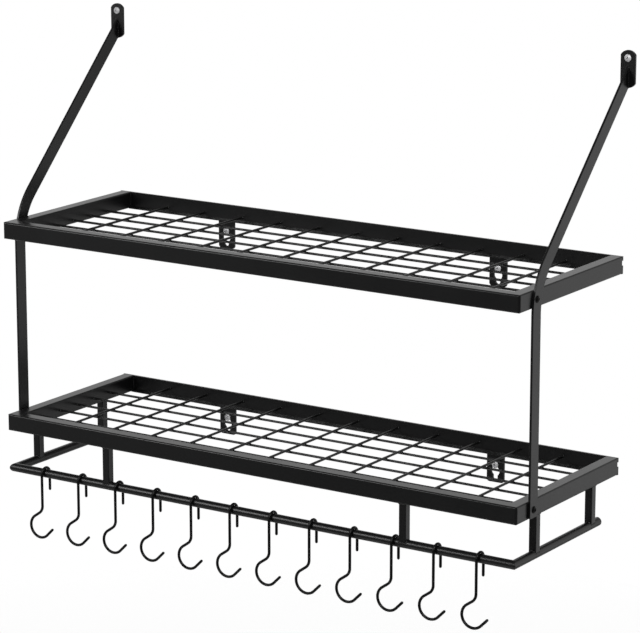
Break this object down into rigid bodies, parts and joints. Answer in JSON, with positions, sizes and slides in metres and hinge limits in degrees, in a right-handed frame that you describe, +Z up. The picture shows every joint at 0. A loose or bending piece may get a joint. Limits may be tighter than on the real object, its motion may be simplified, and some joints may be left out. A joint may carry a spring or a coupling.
{
  "type": "wall mounted pot rack",
  "caption": "Wall mounted pot rack with wire shelves in square tube frames, bent side straps to the wall, and a low rod frame with sliding hooks for pans.",
  "frame": {"origin": "centre of the lower rear rail's wall face: half way along the rack, half way up the lower rails, on the wall", "axes": "+X along the wall to the viewer's right, +Y into the wall, +Z up"},
  "size_m": [0.785, 0.2925, 0.6691],
  "materials": {
    "black_powder_coat": "matte black powder coat on steel",
    "black_hook_wire": "satin black coating on bent steel wire",
    "black_bolt": "black oxide",
    "zinc_screw": "bright zinc plate"
  },
  "bodies": {
    "rack": {"front_left_post": "black_powder_coat", "front_right_post": "black_powder_coat", "front_rod": "black_powder_coat", "keyhole_screws": "zinc_screw", "left_front_post": "black_powder_coat", "left_lug": "black_powder_coat", "left_rear_post": "black_powder_coat", "left_rod": "black_powder_coat", "left_strap": "black_powder_coat", "lower_cross_wires": "black_powder_coat", "lower_front_rail": "black_powder_coat", "lower_left_keyhole_plate": "black_powder_coat", "lower_left_rail": "black_powder_coat", "lower_long_wires": "black_powder_coat", "lower_rear_rail": "black_powder_coat", "lower_right_keyhole_plate": "black_powder_coat", "lower_right_rail": "black_powder_coat", "lug_screws": "zinc_screw", "right_front_post": "black_powder_coat", "right_lug": "black_powder_coat", "right_rear_post": "black_powder_coat", "right_rod": "black_powder_coat", "right_strap": "black_powder_coat", "strap_bolts": "black_bolt", "strap_nuts": "black_bolt", "upper_cross_wires": "black_powder_coat", "upper_front_rail": "black_powder_coat", "upper_left_keyhole_plate": "black_powder_coat", "upper_left_rail": "black_powder_coat", "upper_long_wires": "black_powder_coat", "upper_rear_rail": "black_powder_coat", "upper_right_keyhole_plate": "black_powder_coat", "upper_right_rail": "black_powder_coat"},
    "hook_01": {"hook_01": "black_hook_wire"},
    "hook_02": {"hook_02": "black_hook_wire"},
    "hook_03": {"hook_03": "black_hook_wire"},
    "hook_04": {"hook_04": "black_hook_wire"},
    "hook_05": {"hook_05": "black_hook_wire"},
    "hook_06": {"hook_06": "black_hook_wire"},
    "hook_07": {"hook_07": "black_hook_wire"},
    "hook_08": {"hook_08": "black_hook_wire"},
    "hook_09": {"hook_09": "black_hook_wire"},
    "hook_10": {"hook_10": "black_hook_wire"},
    "hook_11": {"hook_11": "black_hook_wire"},
    "hook_12": {"hook_12": "black_hook_wire"}
  },
  "joints": [
    {"name": "hook_01_swing", "type": "hinge", "parent": "rack", "child": "hook_01", "pos_m": [-0.32475, -0.2475, -0.0618], "axis": [1, 0, 0], "range_deg": [-90, 90]},
    {"name": "hook_02_swing", "type": "hinge", "parent": "rack", "child": "hook_02", "pos_m": [-0.26536, -0.2475, -0.0618], "axis": [1, 0, 0], "range_deg": [-90, 90]},
    {"name": "hook_03_swing", "type": "hinge", "parent": "rack", "child": "hook_03", "pos_m": [-0.20597, -0.2475, -0.0618], "axis": [1, 0, 0], "range_deg": [-90, 90]},
    {"name": "hook_04_swing", "type": "hinge", "parent": "rack", "child": "hook_04", "pos_m": [-0.14658, -0.2475, -0.0618], "axis": [1, 0, 0], "range_deg": [-90, 90]},
    {"name": "hook_05_swing", "type": "hinge", "parent": "rack", "child": "hook_05", "pos_m": [-0.08719, -0.2475, -0.0618], "axis": [1, 0, 0], "range_deg": [-90, 90]},
    {"name": "hook_06_swing", "type": "hinge", "parent": "rack", "child": "hook_06", "pos_m": [-0.0278, -0.2475, -0.0618], "axis": [1, 0, 0], "range_deg": [-90, 90]},
    {"name": "hook_07_swing", "type": "hinge", "parent": "rack", "child": "hook_07", "pos_m": [0.03159, -0.2475, -0.0618], "axis": [1, 0, 0], "range_deg": [-90, 90]},
    {"name": "hook_08_swing", "type": "hinge", "parent": "rack", "child": "hook_08", "pos_m": [0.09099, -0.2475, -0.0618], "axis": [1, 0, 0], "range_deg": [-90, 90]},
    {"name": "hook_09_swing", "type": "hinge", "parent": "rack", "child": "hook_09", "pos_m": [0.15038, -0.2475, -0.0618], "axis": [1, 0, 0], "range_deg": [-90, 90]},
    {"name": "hook_10_swing", "type": "hinge", "parent": "rack", "child": "hook_10", "pos_m": [0.20977, -0.2475, -0.0618], "axis": [1, 0, 0], "range_deg": [-90, 90]},
    {"name": "hook_11_swing", "type": "hinge", "parent": "rack", "child": "hook_11", "pos_m": [0.26916, -0.2475, -0.0618], "axis": [1, 0, 0], "range_deg": [-90, 90]},
    {"name": "hook_12_swing", "type": "hinge", "parent": "rack", "child": "hook_12", "pos_m": [0.32855, -0.2475, -0.0618], "axis": [1, 0, 0], "range_deg": [-90, 90]}
  ]
}
